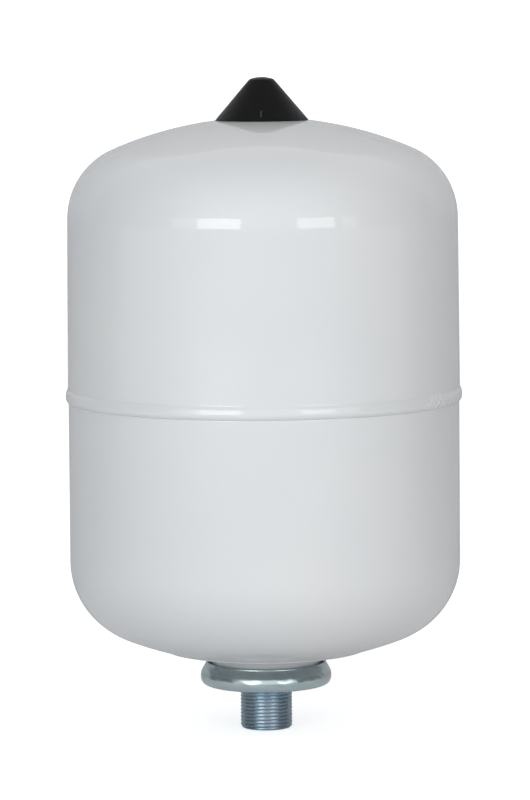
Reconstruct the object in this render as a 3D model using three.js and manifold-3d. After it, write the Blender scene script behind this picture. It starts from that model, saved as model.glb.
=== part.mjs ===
// Expansion vessel with a clamped rubber bag, standing on its connection nipple.
// Millimetres, +Z up. The vessel's axis is Z, z = 0 is the nipple's end face, and -Y is the front.
import * as THREE from 'three';
import { mergeVertices } from 'three/addons/utils/BufferGeometryUtils.js';
import Module from 'manifold-3d';

const wasm = await Module();
wasm.setup();

// ---- Driving dimensions ----
const SHELL_WALL = 1.2;
const BODY_SIDES = 48;
const BAG_SIDES = 36;
const CONE_SIDES = 32;
const SMALL_SIDES = 18;
const THREAD_SIDES = 16;
const PIN_SIDES = 12;
const GAP = 0.1; // left between clamped pieces

const UPPER = { apex: 313.0, crown: 191.7, knuckle: 38.0, r: 99.25, seamR: 100.1, seamZ: 170.3 };
const LOWER = { apex: 34.7, crown: 190.0, knuckle: 40.9, r: 99.35, seamR: 99.7, seamZ: 169.4 };
const SPIGOT = { r: 98.6, top: 178.5, step: 1.6 }; // joggled edge of the lower half, inside the upper
const LAND = { edgeR: 52.0, drop: 0.35, rise: 0.045 }; // nearly flat ring pressed into the lower dome
const BEAD = { bottom: 168.9, top: 175.4, r: 101.0, peakZ: 172.2 };
const TOP_HOLE_R = 7.3;

const NECK = { r: 29.4, fillet: 3.2, flangeR: 31.1, flangeTop: 31.9, wall: 1.2 };
const FLANGE = { bottom: 22.6, wall: 2.0, r: 33.4, lipR: 29.9, lipTop: 34.6 };
const LIP_UNDERSIDE = NECK.flangeTop + GAP;
const NIPPLE = { boreR: 9.6, chamfer: 1.2, shoulderR: 18.5, shoulder: 3.0 };
const THREAD = { majorR: 13.22, minorR: 12.06, pitch: 1.814, flankAngle: 27.5, length: 21.0 };
const FLANGE_HOLE_R = THREAD.minorR + 0.3;

const BAG = { wall: 2.0, neckR: 27.8, waistZ: 46.0, r: 78.0, lobes: 4, lobeDepth: 0.13, top: 233.0 };

const BOSS = { boreR: 4.5, spigotR: 7.0, headR: 8.0, bottom: 310.4, step: 313.1, top: 314.3 };
const BOSS_RECESS = { r: 5.6, floor: 313.5 };
const BOSS_WELD = { innerR: 8.1, outerR: 10.4, lift: 0.12, top: 314.0 };
const VALVE = { bottom: 298.0, shankR: 4.2, tipR: 3.85, tip: 324.2 };
const HEXAGON = { flats: 14.0, bottom: 314.6, top: 318.6, chamfer: 0.6 };
const O_RING = { innerR: 4.4, outerR: 5.4, bottom: 313.6, top: 314.5 };
const CORE_BORE = { lower: 2.4, upper: 2.8, taperFrom: 316.0, taperTo: 318.5, mouth: 3.1 };
const PLUG = { boreR: 0.85, r: 2.55, bottom: 320.75, top: 323.9, slotInnerX: 1.8, slotDepth: 1.6 };
const BARREL = { r: 1.95, boreR: 1.32, lipR: 0.78, lipTop: 310.7, bottom: 308.5, top: 320.65 };
const GASKET = { innerR: 2.02, lowR: 2.32, highR: 2.68, bottom: 316.1, top: 318.35 };
const PIN = { r: 0.55, headR: 0.8, headHeight: 0.45, bottom: 304.5, top: 323.6 };
const PIN_COLLAR = { r: 1.2, from: 319.5, to: 320.2 };
const SPRING = { coilR: 0.98, wireR: 0.2, from: 310.95, to: 319.2, turns: 6, facets: 4 };
const CUP = { boreR: 0.62, r: 1.75, wall: 0.2, floor: 0.6, bottom: 305.0, top: 307.0 };
const WASHER = { innerR: 0.62, lowR: 1.5, r: 1.7, bottom: 305.65, widensAt: 307.1, top: 308.35 };

const DUST_CAP = { r: 5.0, boreR: 4.0, bottom: 318.75, roof: 325.2, top: 326.2 };
const CAP_SEAL = { innerR: 0.9, outerR: 3.85, bottom: 324.35, top: 325.1 };

const CONE = { rimR: 23.7, rimZ: 311.66, cornerR: 6.3, cornerZ: 331.6, top: 333.4 };
const CONE_INSIDE = { wall: 2.36, from: 312.9, roof: 331.0 };
const SLEEVE = { r: 8.4, wall: 1.3, bottom: 315.0, top: 324.4 }; // inside the cone, grips the valve's hexagon
const GRIP_RIB = { count: 3, depth: 2.4, width: 1.5, height: 3.6, from: 313.6, proud: 0.7 };

// ---- Materials ----
const paint = (color, roughness, metalness) => ({ color, roughness, metalness });
const WHITE_ENAMEL = paint(0xe9e9ea, 0.25, 0.0);
const ZINC = paint(0xa9adb1, 0.35, 1.0);
const STEEL = paint(0x8d9094, 0.4, 1.0);
const BRASS = paint(0xb8964c, 0.35, 1.0);
const BLACK_PLASTIC = paint(0x17181a, 0.5, 0.0);
const BLACK_RUBBER = paint(0x1d1d1d, 0.8, 0.0);

// ---- Helpers ----
const vessel = new THREE.Group();
vessel.name = 'expansion_vessel';

function add(name, geometry, look) {
  const mesh = new THREE.Mesh(geometry, new THREE.MeshStandardMaterial(look));
  mesh.name = name;
  vessel.add(mesh);
}

// Points [r, z] on a circular arc in the section plane, angles in degrees from the +r direction.
function arc(r, z, radius, from, to, steps) {
  return Array.from({ length: steps + 1 }, (_, i) => {
    const a = THREE.MathUtils.degToRad(from + ((to - from) * i) / steps);
    return [r + radius * Math.cos(a), z + radius * Math.sin(a)];
  });
}

function signedArea(profile) {
  return profile.reduce((sum, [r, z], i) => {
    const [r2, z2] = profile[(i + 1) % profile.length];
    return sum + (r * z2 - r2 * z) / 2;
  }, 0);
}

// A closed body of revolution about Z. The profile [[r, z], ...] is a loop, or starts and ends on the axis.
// warp(r, angle, z) may return a changed radius.
function revolve(profile, sides, warp = (r) => r) {
  const path = signedArea(profile) > 0 ? profile : [...profile].reverse();
  const closed = path[0][0] > 0 || path[path.length - 1][0] > 0;
  const vertices = [];
  const rings = path.map(([r, z]) => {
    const first = vertices.length / 3;
    const count = r === 0 ? 1 : sides;
    for (let j = 0; j < count; j++) {
      const a = (2 * Math.PI * j) / sides;
      const rr = r === 0 ? 0 : warp(r, a, z);
      vertices.push(rr * Math.cos(a), rr * Math.sin(a), z);
    }
    return (j) => (r === 0 ? first : first + (j % sides));
  });
  const index = [];
  const last = closed ? path.length : path.length - 1;
  for (let i = 0; i < last; i++) {
    const low = rings[i];
    const high = rings[(i + 1) % path.length];
    for (let j = 0; j < sides; j++) {
      const [a, b, c, d] = [low(j), low(j + 1), high(j + 1), high(j)];
      if (a !== b) index.push(a, b, c);
      if (c !== d) index.push(a, c, d);
    }
  }
  const geometry = new THREE.BufferGeometry();
  geometry.setAttribute('position', new THREE.Float32BufferAttribute(vertices, 3));
  geometry.setIndex(index);
  geometry.computeVertexNormals();
  return geometry;
}

function toSolid(geometry) {
  const bare = new THREE.BufferGeometry();
  bare.setAttribute('position', geometry.getAttribute('position'));
  if (geometry.index) bare.setIndex(geometry.index);
  const merged = mergeVertices(bare, 1e-4);
  return new wasm.Manifold(
    new wasm.Mesh({
      numProp: 3,
      vertProperties: new Float32Array(merged.getAttribute('position').array),
      triVerts: new Uint32Array(merged.index.array),
    }),
  );
}

function toGeometry(solid) {
  const mesh = solid.getMesh();
  const geometry = new THREE.BufferGeometry();
  geometry.setAttribute('position', new THREE.BufferAttribute(new Float32Array(mesh.vertProperties), 3));
  geometry.setIndex(new THREE.BufferAttribute(new Uint32Array(mesh.triVerts), 1));
  geometry.computeVertexNormals();
  return geometry;
}

function box(width, depth, height, x, y, z) {
  return new THREE.BoxGeometry(width, depth, height).translate(x, y, z);
}

// Torispherical head: points from the crown at radius `from` down to the tangent with the wall.
// up is 1 for a head that closes the top and -1 for one that closes the bottom.
function head({ apex, crown, knuckle, r }, up, from, inset, crownSteps, kneeSteps) {
  const centre = apex - up * crown;
  const kneeR = r - knuckle;
  const kneeZ = centre + up * Math.sqrt((crown - knuckle) ** 2 - kneeR ** 2);
  const tangent = THREE.MathUtils.radToDeg(Math.acos(kneeR / (crown - knuckle)));
  const start = THREE.MathUtils.radToDeg(Math.acos(from / (crown - inset)));
  return [
    ...arc(0, centre, crown - inset, up * start, up * tangent, crownSteps),
    ...arc(kneeR, kneeZ, knuckle - inset, up * tangent, 0, kneeSteps).slice(1),
  ];
}

const domeTopZ = (r) => UPPER.apex - UPPER.crown + Math.sqrt(UPPER.crown ** 2 - r ** 2);

// ---- Upper half: open below, valve hole in the crown ----
function upperShell() {
  const outside = head(UPPER, 1, TOP_HOLE_R, 0, 4, 7);
  const inside = head(UPPER, 1, TOP_HOLE_R, SHELL_WALL, 3, 5);
  return revolve(
    [
      ...outside,
      [UPPER.seamR, UPPER.seamZ],
      [UPPER.seamR - SHELL_WALL, UPPER.seamZ],
      ...inside.reverse(),
    ],
    BODY_SIDES,
  );
}

// ---- Lower half: joggled edge inside the upper half, flat land, and a neck with a turned-out flange ----
function lowerShell() {
  const { r, fillet, flangeR, flangeTop, wall } = NECK;
  const crownZ = (radius) => LOWER.apex + LOWER.crown - Math.sqrt(LOWER.crown ** 2 - radius ** 2);
  const landZ = (radius) => crownZ(LAND.edgeR) - LAND.drop + LAND.rise * (radius - LAND.edgeR);
  const filletR = r + fillet;
  const filletZ = landZ(filletR) - fillet;
  const outside = [
    [SPIGOT.r, SPIGOT.top],
    [SPIGOT.r, LOWER.seamZ + SPIGOT.step / 2],
    [LOWER.seamR, LOWER.seamZ - SPIGOT.step / 2],
    ...head(LOWER, -1, LAND.edgeR + 1.6, 0, 2, 6).reverse(),
    [LAND.edgeR - 0.2, crownZ(LAND.edgeR) - 0.22],
    [LAND.edgeR - 2.6, landZ(LAND.edgeR - 2.6)],
    ...arc(filletR, filletZ, fillet, 90, 180, 3),
    [r, flangeTop + 0.4],
    [r + 0.4, flangeTop],
    [flangeR, flangeTop],
    [flangeR, flangeTop - wall],
  ];
  const inside = [
    [r - wall + 0.8, flangeTop - wall],
    [r - wall, flangeTop - wall + 0.8],
    ...arc(filletR, filletZ, fillet + wall, 180, 90, 3),
    [LAND.edgeR - 2.8, landZ(LAND.edgeR - 2.6) + wall],
    ...head(LOWER, -1, LAND.edgeR + 1.0, SHELL_WALL, 2, 5),
    [LOWER.seamR - SHELL_WALL, LOWER.seamZ - SPIGOT.step / 2],
    [SPIGOT.r - SHELL_WALL, LOWER.seamZ + SPIGOT.step / 2],
    [SPIGOT.r - SHELL_WALL, SPIGOT.top],
  ];
  return revolve([...outside, ...inside], BODY_SIDES);
}

// ---- Weld bead: sharp undercut below, washed out above ----
function girthWeld() {
  const { bottom, top, r, peakZ } = BEAD;
  const upperWall = UPPER.seamR + 0.12;
  const lowerWall = LOWER.seamR + 0.12;
  return revolve(
    [
      [lowerWall, bottom],
      [r - 0.3, bottom + 0.5],
      [r, peakZ - 0.9],
      [r, peakZ + 0.5],
      [r - 0.4, peakZ + 1.9],
      [upperWall + 0.05, top],
      [upperWall, UPPER.seamZ - 0.1],
      [lowerWall, UPPER.seamZ - 0.3],
    ],
    BODY_SIDES,
  );
}

// ---- Connection flange: pressed cup, rim rolled over the neck's flange ----
function connectionFlange() {
  const { bottom, wall, r, lipR, lipTop } = FLANGE;
  return revolve(
    [
      [FLANGE_HOLE_R, bottom],
      [r - 3.0, bottom],
      [r - 1.4, bottom + 0.6],
      [r - 0.4, bottom + 1.9],
      [r, bottom + 3.7],
      [r - 0.2, bottom + 6.9],
      [r - 1.7, bottom + 9.9],
      [lipR + 1.0, lipTop - 0.5],
      [lipR + 0.6, lipTop],
      [lipR, lipTop - 0.1],
      [lipR, LIP_UNDERSIDE],
      [r - wall, LIP_UNDERSIDE],
      [r - wall, bottom + wall + 0.8],
      [r - wall - 0.8, bottom + wall],
      [FLANGE_HOLE_R, bottom + wall],
    ],
    BODY_SIDES,
  );
}

// ---- Nipple: helical thread, end chamfer, and a shoulder welded inside the flange ----
function helixRidge(rootR, crestR, from, to, perTurn) {
  const { pitch, flankAngle } = THREAD;
  const crestWidth = pitch / 6;
  const flank = (crestR - rootR) * Math.tan(THREE.MathUtils.degToRad(flankAngle));
  const rootWidth = crestWidth + 2 * flank;
  const steps = Math.ceil(((to - from) / pitch) * perTurn);
  const vertices = [];
  for (let i = 0; i <= steps; i++) {
    const a = (2 * Math.PI * i) / perTurn;
    const z = from + (pitch * i) / perTurn;
    const section = [
      [rootR, z - rootWidth / 2],
      [crestR, z - crestWidth / 2],
      [crestR, z + crestWidth / 2],
      [rootR, z + rootWidth / 2],
    ];
    for (const [r, zz] of section) vertices.push(r * Math.cos(a), r * Math.sin(a), zz);
  }
  const index = [0, 1, 2, 0, 2, 3];
  for (let i = 0; i < steps; i++) {
    for (let k = 0; k < 4; k++) {
      const [a, b] = [4 * i + k, 4 * i + ((k + 1) % 4)];
      index.push(a, a + 4, b + 4, a, b + 4, b);
    }
  }
  const e = 4 * steps;
  index.push(e, e + 2, e + 1, e, e + 3, e + 2);
  const geometry = new THREE.BufferGeometry();
  geometry.setAttribute('position', new THREE.Float32BufferAttribute(vertices, 3));
  geometry.setIndex(index);
  return geometry;
}

function nipple() {
  const { boreR, chamfer, shoulderR, shoulder } = NIPPLE;
  const { majorR, minorR, pitch, length } = THREAD;
  const shoulderZ = FLANGE.bottom + FLANGE.wall + GAP;
  const top = shoulderZ + shoulder;
  const core = revolve(
    [
      [0, 0],
      [minorR - 0.4, 0],
      [minorR, 0.6],
      [minorR, shoulderZ],
      [shoulderR, shoulderZ],
      [shoulderR, top - 0.6],
      [shoulderR - 0.6, top],
      [0, top],
    ],
    THREAD_SIDES,
  );
  const envelope = revolve(
    [
      [0, 0],
      [majorR - chamfer, 0],
      [majorR + 0.3, chamfer + 0.3],
      [majorR + 0.3, length - 1.2],
      [minorR - 0.2, length],
      [0, length],
    ],
    THREAD_SIDES,
  );
  const bore = revolve(
    [
      [0, -1],
      [boreR, -1],
      [boreR, top - 1.5],
      [boreR + 3, top + 1.5],
      [0, top + 1.5],
    ],
    THREAD_SIDES,
  );
  const ridge = helixRidge(minorR - 0.25, majorR, -pitch, length + pitch, THREAD_SIDES);
  const thread = toSolid(ridge).intersect(toSolid(envelope));
  return toGeometry(toSolid(core).add(thread).subtract(toSolid(bore)));
}

// ---- Rubber bag: collar clamped in the flange, waist through the neck, slack body with lobes ----
function membrane() {
  const { wall, neckR, waistZ, r, lobes, lobeDepth, top } = BAG;
  const collarBottom = FLANGE.bottom + FLANGE.wall + GAP;
  const collarTop = NECK.flangeTop - NECK.wall - GAP;
  const outside = [
    [24.5, collarBottom],
    [30.6, collarBottom + 0.4],
    [31.0, collarBottom + 0.9],
    [31.0, collarTop],
    [neckR + 0.9, collarTop],
    [neckR, collarTop + 1.0],
    [neckR, waistZ - 6],
    [neckR + 3.3, waistZ],
    [48, 57],
    [66, 74],
    [r - 2, 100],
    [r, 135],
    [r - 2, 170],
    [r - 9, 197],
    [r - 25, 218],
    [r - 48, 229.5],
    [0, top],
  ];
  const inside = [
    [0, top - wall],
    [r - 49, 227.2],
    [r - 26.5, 216.2],
    [r - 10.9, 195.8],
    [r - 4, 169.6],
    [r - 2, 135],
    [r - 4, 100.4],
    [64.4, 75.2],
    [46.8, 58.6],
    [neckR + 1.8, waistZ + 1.4],
    [neckR - wall, waistZ - 5],
    [neckR - wall, 33.4],
    [24.5, 31.0],
  ];
  const lobed = (radius, angle, z) => {
    const rise = THREE.MathUtils.smoothstep(z, waistZ, 105);
    return radius * (1 + lobeDepth * rise * Math.cos(lobes * angle));
  };
  return revolve([...outside, ...inside], BAG_SIDES, lobed);
}

// ---- Pre-charge valve ----
function valveBoss() {
  const { boreR, spigotR, headR, bottom, step, top } = BOSS;
  return revolve(
    [
      [boreR, bottom],
      [spigotR, bottom],
      [spigotR, step],
      [headR, step],
      [headR, top - 0.2],
      [headR - 0.2, top],
      [BOSS_RECESS.r, top],
      [BOSS_RECESS.r, BOSS_RECESS.floor],
      [boreR, BOSS_RECESS.floor],
    ],
    SMALL_SIDES,
  );
}

function bossWeld() {
  const { innerR, outerR, lift, top } = BOSS_WELD;
  return revolve(
    [
      [innerR, domeTopZ(innerR) + lift],
      [outerR, domeTopZ(outerR) + lift],
      [outerR - 0.2, domeTopZ(outerR) + 0.4],
      [innerR + 0.5, top - 0.1],
      [innerR, top],
    ],
    SMALL_SIDES,
  );
}

function valveStem() {
  const { bottom, shankR, tipR, tip } = VALVE;
  const { flats, bottom: hexBottom, top: hexTop, chamfer } = HEXAGON;
  const { lower, upper, taperFrom, taperTo, mouth } = CORE_BORE;
  const cornerR = flats / Math.sqrt(3);
  const hexagon = new THREE.CylinderGeometry(cornerR, cornerR, hexTop - hexBottom, 6)
    .rotateX(Math.PI / 2)
    .translate(0, 0, (hexBottom + hexTop) / 2);
  const corners = revolve(
    [
      [0, hexBottom],
      [flats / 2, hexBottom],
      [cornerR, hexBottom + chamfer],
      [cornerR, hexTop - chamfer],
      [flats / 2, hexTop],
      [0, hexTop],
    ],
    24,
  );
  const shank = revolve(
    [
      [0, bottom],
      [shankR - 0.5, bottom],
      [shankR, bottom + 0.5],
      [shankR, hexBottom + 0.5],
      [tipR, hexTop - 0.5],
      [tipR, tip - 0.5],
      [tipR - 0.5, tip],
      [0, tip],
    ],
    SMALL_SIDES,
  );
  const bore = revolve(
    [
      [0, bottom - 1],
      [lower, bottom - 1],
      [lower, taperFrom],
      [upper, taperTo],
      [upper, tip - 0.3],
      [mouth + 0.2, tip + 0.2],
      [0, tip + 0.2],
    ],
    SMALL_SIDES,
  );
  const body = toSolid(hexagon).intersect(toSolid(corners)).add(toSolid(shank));
  return toGeometry(body.subtract(toSolid(bore)));
}

function ring({ innerR, outerR, bottom, top }) {
  return revolve([[innerR, bottom], [outerR, bottom], [outerR, top], [innerR, top]], SMALL_SIDES);
}

// Threaded head of the valve core, with a driver slot cut into each side of its top.
function corePlug() {
  const { boreR, r, bottom, top, slotInnerX, slotDepth } = PLUG;
  const slotX = slotInnerX + r / 2;
  const body = toSolid(ring({ innerR: boreR, outerR: r, bottom, top }));
  const [left, right] = [-1, 1].map((side) => toSolid(
    box(r, 2 * r, 2 * slotDepth, side * slotX, 0, top),
  ));
  return toGeometry(body.subtract(left).subtract(right));
}

function coreBarrel() {
  const { r, boreR, lipR, lipTop, bottom, top } = BARREL;
  return revolve(
    [
      [lipR, bottom],
      [r - 0.35, bottom],
      [r, bottom + 0.7],
      [r, top],
      [boreR, top],
      [boreR, lipTop],
      [lipR, lipTop],
    ],
    SMALL_SIDES,
  );
}

function coreGasket() {
  const { innerR, lowR, highR, bottom, top } = GASKET;
  return revolve([[innerR, bottom], [lowR, bottom], [highR, top], [innerR, top]], SMALL_SIDES);
}

function corePin() {
  const { r, headR, headHeight, bottom, top } = PIN;
  return revolve(
    [
      [0, bottom],
      [headR, bottom],
      [headR, bottom + headHeight],
      [r, bottom + headHeight],
      [r, PIN_COLLAR.from],
      [PIN_COLLAR.r, PIN_COLLAR.from],
      [PIN_COLLAR.r, PIN_COLLAR.to],
      [r, PIN_COLLAR.to],
      [r, top - 0.2],
      [r - 0.2, top],
      [0, top],
    ],
    PIN_SIDES,
  );
}

class Helix extends THREE.Curve {
  getPoint(t, target = new THREE.Vector3()) {
    const a = 2 * Math.PI * SPRING.turns * t;
    const low = SPRING.from + SPRING.wireR;
    const high = SPRING.to - SPRING.wireR;
    return target.set(SPRING.coilR * Math.cos(a), SPRING.coilR * Math.sin(a), low + (high - low) * t);
  }
}

function coreSpring() {
  const wire = new THREE.Shape();
  for (let i = 0; i < SPRING.facets; i++) {
    const a = (2 * Math.PI * i) / SPRING.facets;
    const [x, y] = [SPRING.wireR * Math.cos(a), SPRING.wireR * Math.sin(a)];
    if (i === 0) wire.moveTo(x, y);
    else wire.lineTo(x, y);
  }
  return new THREE.ExtrudeGeometry(wire, {
    steps: 10 * SPRING.turns, bevelEnabled: false, extrudePath: new Helix(),
  });
}

function coreCup() {
  const { boreR, r, wall, floor, bottom, top } = CUP;
  return revolve(
    [
      [boreR, bottom],
      [r - 0.25, bottom],
      [r, bottom + 0.3],
      [r, top],
      [r - wall, top],
      [r - wall, bottom + floor],
      [boreR, bottom + floor],
    ],
    SMALL_SIDES,
  );
}

function coreSeatWasher() {
  const { innerR, lowR, r, bottom, widensAt, top } = WASHER;
  return revolve(
    [
      [innerR, bottom],
      [lowR, bottom],
      [lowR, widensAt],
      [r, widensAt + 0.2],
      [r, top],
      [innerR, top],
    ],
    SMALL_SIDES,
  );
}

function dustCap() {
  const { r, boreR, bottom, roof, top } = DUST_CAP;
  return revolve(
    [
      [0, top],
      [r - 1.2, top],
      [r - 0.3, top - 0.9],
      [r, top - 1.6],
      [r, bottom],
      [boreR + 0.2, bottom],
      [boreR, bottom + 0.45],
      [boreR, roof],
      [0, roof],
    ],
    SMALL_SIDES,
  );
}

// ---- Cone cap: hollow cone, inner sleeve, three short grip ribs above the rim ----
function coneCap() {
  const { rimR, rimZ, cornerR, cornerZ, top } = CONE;
  const { wall, from: insideFrom, roof } = CONE_INSIDE;
  const slope = (rimR - cornerR) / (cornerZ - rimZ);
  const outerAt = (z) => rimR - slope * (z - rimZ);
  const innerAt = (z) => outerAt(z) - wall;
  const innerHeightAt = (r) => rimZ + (rimR - wall - r) / slope;
  const innerRimR = rimR - wall;
  const rimLift = 0.14; // above the dome
  const shell = revolve(
    [
      [0, top],
      [2.2, top - 0.15],
      [4.2, top - 0.55],
      [5.5, top - 1.1],
      [cornerR, cornerZ],
      [rimR - 0.25, rimZ + 0.35],
      [rimR - 0.3, domeTopZ(rimR) + rimLift],
      [innerRimR, domeTopZ(innerRimR) + rimLift],
      [innerAt(insideFrom), insideFrom],
      [innerAt(SLEEVE.top - 0.4), SLEEVE.top - 0.4],
      [SLEEVE.r + SLEEVE.wall + 0.2, SLEEVE.top - 0.9],
      [SLEEVE.r + SLEEVE.wall, SLEEVE.bottom],
      [SLEEVE.r + 0.2, SLEEVE.bottom],
      [SLEEVE.r, SLEEVE.bottom + 0.4],
      [SLEEVE.r, innerHeightAt(SLEEVE.r)],
      [innerAt(roof), roof],
      [0, roof],
    ],
    CONE_SIDES,
  );
  const { count, depth, width, height, from, proud } = GRIP_RIB;
  const tilt = Math.atan(slope);
  let body = toSolid(shell);
  for (let i = 0; i < count; i++) {
    const middle = from + height / 2;
    const rib = box(depth, width, height, 0, 0, 0)
      .rotateY(-tilt)
      .translate(outerAt(middle) - (depth / 2) * Math.cos(tilt) + proud, 0, middle)
      .rotateZ(-Math.PI / 2 + (2 * Math.PI * i) / count);
    body = body.add(toSolid(rib));
  }
  return toGeometry(body);
}

add('upper_shell', upperShell(), WHITE_ENAMEL);
add('lower_shell', lowerShell(), WHITE_ENAMEL);
add('girth_weld', girthWeld(), WHITE_ENAMEL);
add('connection_flange', connectionFlange(), ZINC);
add('nipple', nipple(), ZINC);
add('membrane', membrane(), BLACK_RUBBER);
add('valve_boss', valveBoss(), WHITE_ENAMEL);
add('boss_weld', bossWeld(), WHITE_ENAMEL);
add('valve_stem', valveStem(), BRASS);
add('valve_o_ring', ring(O_RING), BLACK_RUBBER);
add('core_plug', corePlug(), BRASS);
add('core_barrel', coreBarrel(), BRASS);
add('core_gasket', coreGasket(), BLACK_RUBBER);
add('core_pin', corePin(), STEEL);
add('core_spring', coreSpring(), STEEL);
add('core_cup', coreCup(), BRASS);
add('core_seat_washer', coreSeatWasher(), BLACK_RUBBER);
add('dust_cap', dustCap(), BLACK_PLASTIC);
add('dust_cap_seal', ring(CAP_SEAL), BLACK_RUBBER);
add('cone_cap', coneCap(), BLACK_PLASTIC);

export default vessel;
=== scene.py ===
"""Looks of the expansion vessel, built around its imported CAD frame.
Profiles are (radius, height) in millimetres; meshes are in metres."""
import math

import bmesh
import bpy
import numpy as np
from mathutils import Matrix, Vector


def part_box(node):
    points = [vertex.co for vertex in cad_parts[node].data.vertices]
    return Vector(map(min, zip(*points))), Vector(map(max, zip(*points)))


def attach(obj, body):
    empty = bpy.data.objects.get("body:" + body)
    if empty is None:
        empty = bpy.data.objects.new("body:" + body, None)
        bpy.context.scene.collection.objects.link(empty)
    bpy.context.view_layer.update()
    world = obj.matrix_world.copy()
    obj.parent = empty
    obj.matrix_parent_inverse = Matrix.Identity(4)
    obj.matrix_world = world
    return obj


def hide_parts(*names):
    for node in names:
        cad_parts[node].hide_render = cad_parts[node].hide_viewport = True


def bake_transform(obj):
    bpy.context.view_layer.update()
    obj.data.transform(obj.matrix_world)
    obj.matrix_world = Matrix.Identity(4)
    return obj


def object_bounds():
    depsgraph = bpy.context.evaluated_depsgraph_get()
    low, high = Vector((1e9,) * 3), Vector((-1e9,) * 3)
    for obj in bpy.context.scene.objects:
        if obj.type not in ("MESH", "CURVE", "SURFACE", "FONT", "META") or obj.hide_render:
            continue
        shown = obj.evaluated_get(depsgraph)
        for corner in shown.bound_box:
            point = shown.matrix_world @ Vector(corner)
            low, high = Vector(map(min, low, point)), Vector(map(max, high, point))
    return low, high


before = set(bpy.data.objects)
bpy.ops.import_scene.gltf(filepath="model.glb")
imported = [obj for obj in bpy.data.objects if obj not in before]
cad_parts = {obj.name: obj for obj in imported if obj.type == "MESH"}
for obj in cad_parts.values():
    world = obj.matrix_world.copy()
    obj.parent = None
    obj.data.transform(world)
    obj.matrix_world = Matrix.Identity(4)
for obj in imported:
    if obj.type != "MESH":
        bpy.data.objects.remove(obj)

CAD_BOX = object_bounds()
MM = 0.001


def extent(node):
    """(largest radius, lowest z, highest z) of a CAD node that is centred on the axis, in millimetres."""
    low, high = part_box(node)
    return high.x / MM, low.z / MM, high.z / MM


# ---------------------------------------------------------------- profiles

def arc(r, z, radius, start, end, steps):
    """Points (r, z) on a circular arc, angles in degrees from the +r direction."""
    angles = np.radians(np.linspace(start, end, steps + 1))
    return [(r + radius * math.cos(a), z + radius * math.sin(a)) for a in angles]


def rounded(corners, steps=5):
    """Closed profile through corners (r, z, fillet radius), each fillet drawn as an arc-like curve."""
    points = []
    for i, (r, z, fillet) in enumerate(corners):
        here = Vector((r, z))
        before = Vector(corners[i - 1][:2]) - here
        after = Vector(corners[(i + 1) % len(corners)][:2]) - here
        if fillet <= 0 or r == 0:
            points.append((r, z))
            continue
        half = before.angle(after) / 2
        reach = min(fillet / math.tan(half), 0.48 * before.length, 0.48 * after.length)
        a, b = here + before.normalized() * reach, here + after.normalized() * reach
        for k in range(steps + 1):
            t = k / steps
            p = a * (1 - t) ** 2 + here * (2 * t * (1 - t)) + b * t ** 2
            points.append((max(p.x, 0.0), p.y))
    return points


def spline(knots, per_span=6):
    """Smooth open curve through (r, z) knots (Catmull-Rom)."""
    k = [np.array(p, float) for p in knots]
    k = [2 * k[0] - k[1]] + k + [2 * k[-1] - k[-2]]
    out = []
    for i in range(1, len(k) - 2):
        for s in range(per_span):
            t = s / per_span
            out.append(tuple(0.5 * (
                2 * k[i] + (k[i + 1] - k[i - 1]) * t
                + (2 * k[i - 1] - 5 * k[i] + 4 * k[i + 1] - k[i + 2]) * t ** 2
                + (3 * k[i] - k[i - 1] - 3 * k[i + 1] + k[i + 2]) * t ** 3)))
    return out + [tuple(k[-2])]


def subdivided(points, longest):
    """The same open polyline with no span longer than `longest`."""
    out = []
    for (r0, z0), (r1, z1) in zip(points[:-1], points[1:]):
        n = max(1, math.ceil(math.hypot(r1 - r0, z1 - z0) / longest))
        out += [(r0 + (r1 - r0) * k / n, z0 + (z1 - z0) * k / n) for k in range(n)]
    return out + [points[-1]]


def torispherical(apex, crown, knuckle, wall_r, up, start_r, inset=0.0, crown_steps=20, knee_steps=26):
    """Points of a domed end from radius start_r to the tangent with the wall.
    up is 1 for a top dome and -1 for a bottom one; inset is measured inwards from the outer surface."""
    centre = apex - up * crown
    knee_r = wall_r - knuckle
    knee_z = centre + up * math.sqrt((crown - knuckle) ** 2 - knee_r ** 2)
    tangent = math.degrees(math.acos(knee_r / (crown - knuckle)))
    start = math.degrees(math.acos(start_r / (crown - inset)))
    crown_part = arc(0, centre, crown - inset, up * start, up * tangent, crown_steps)
    return crown_part + arc(knee_r, knee_z, knuckle - inset, up * tangent, 0, knee_steps)[1:]


# ---------------------------------------------------------------- meshes

def finish_mesh(name, mesh, material, sharp=38):
    mesh.validate()
    mesh.shade_smooth()
    mesh.set_sharp_from_angle(angle=math.radians(sharp))
    piece = bpy.data.objects.new(name, mesh)
    bpy.context.scene.collection.objects.link(piece)
    mesh.materials.append(material)
    return piece


def lathe_data(profile, sides, warp=None):
    """Vertices and faces of a closed body of revolution.
    The profile is a loop, or starts and ends on the axis; warp moves (r, angle, z) of each ring."""
    area = sum(r0 * z1 - r1 * z0 for (r0, z0), (r1, z1) in zip(profile, profile[1:] + profile[:1]))
    path = list(profile) if area > 0 else list(reversed(profile))
    loop = path[0][0] > 0 or path[-1][0] > 0
    angles = np.arange(sides) * 2 * math.pi / sides
    verts, rings = [], []
    for r, z in path:
        rings.append((len(verts), r > 0))
        if r <= 0:
            verts.append((0.0, 0.0, z))
            continue
        rr, aa, zz = np.full(sides, r), angles.copy(), np.full(sides, z)
        if warp:
            rr, aa, zz = warp(rr, aa, zz)
        verts += zip(rr * np.cos(aa), rr * np.sin(aa), zz)
    faces = []
    pairs = list(zip(rings, rings[1:])) + ([(rings[-1], rings[0])] if loop else [])
    for (a, full_a), (b, full_b) in pairs:
        for j in range(sides):
            k = (j + 1) % sides
            if full_a and full_b:
                faces.append((a + j, a + k, b + k, b + j))
            elif full_a:
                faces.append((a + j, a + k, b))
            elif full_b:
                faces.append((a, b + k, b + j))
    return np.array(verts) * MM, faces


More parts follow.
